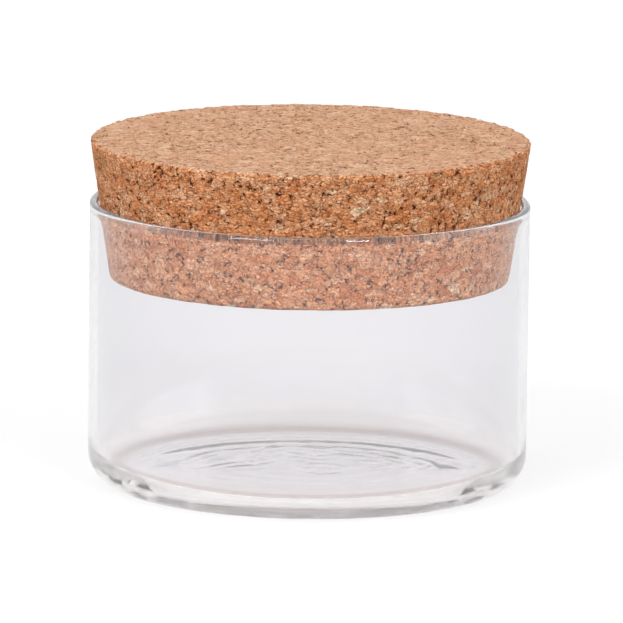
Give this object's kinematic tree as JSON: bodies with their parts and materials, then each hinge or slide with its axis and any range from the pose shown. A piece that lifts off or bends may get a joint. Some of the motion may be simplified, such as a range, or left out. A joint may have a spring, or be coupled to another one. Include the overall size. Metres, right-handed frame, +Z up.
{
  "type": "glass storage jar with cork stopper",
  "caption": "Low straight-sided clear glass jar with a rounded lip, closed by a thick tapered cork stopper that lifts out; holds small dry goods.",
  "frame": {"origin": "middle of the jar's foot, on the surface that the jar stands on", "axes": "+Z up along the jar's and the stopper's common axis; the jar is round, so +X and +Y are any two directions across it"},
  "size_m": [0.1, 0.1, 0.0793],
  "materials": {
    "clear_glass": "gloss",
    "cork": "matte"
  },
  "bodies": {
    "jar": {"glass_jar": "clear_glass"},
    "stopper": {"cork_stopper": "cork"}
  },
  "joints": [
    {"name": "stopper_lift", "type": "slide", "parent": "jar", "child": "stopper", "axis": [0, 0, 1], "range_m": [0, 0.045]}
  ]
}
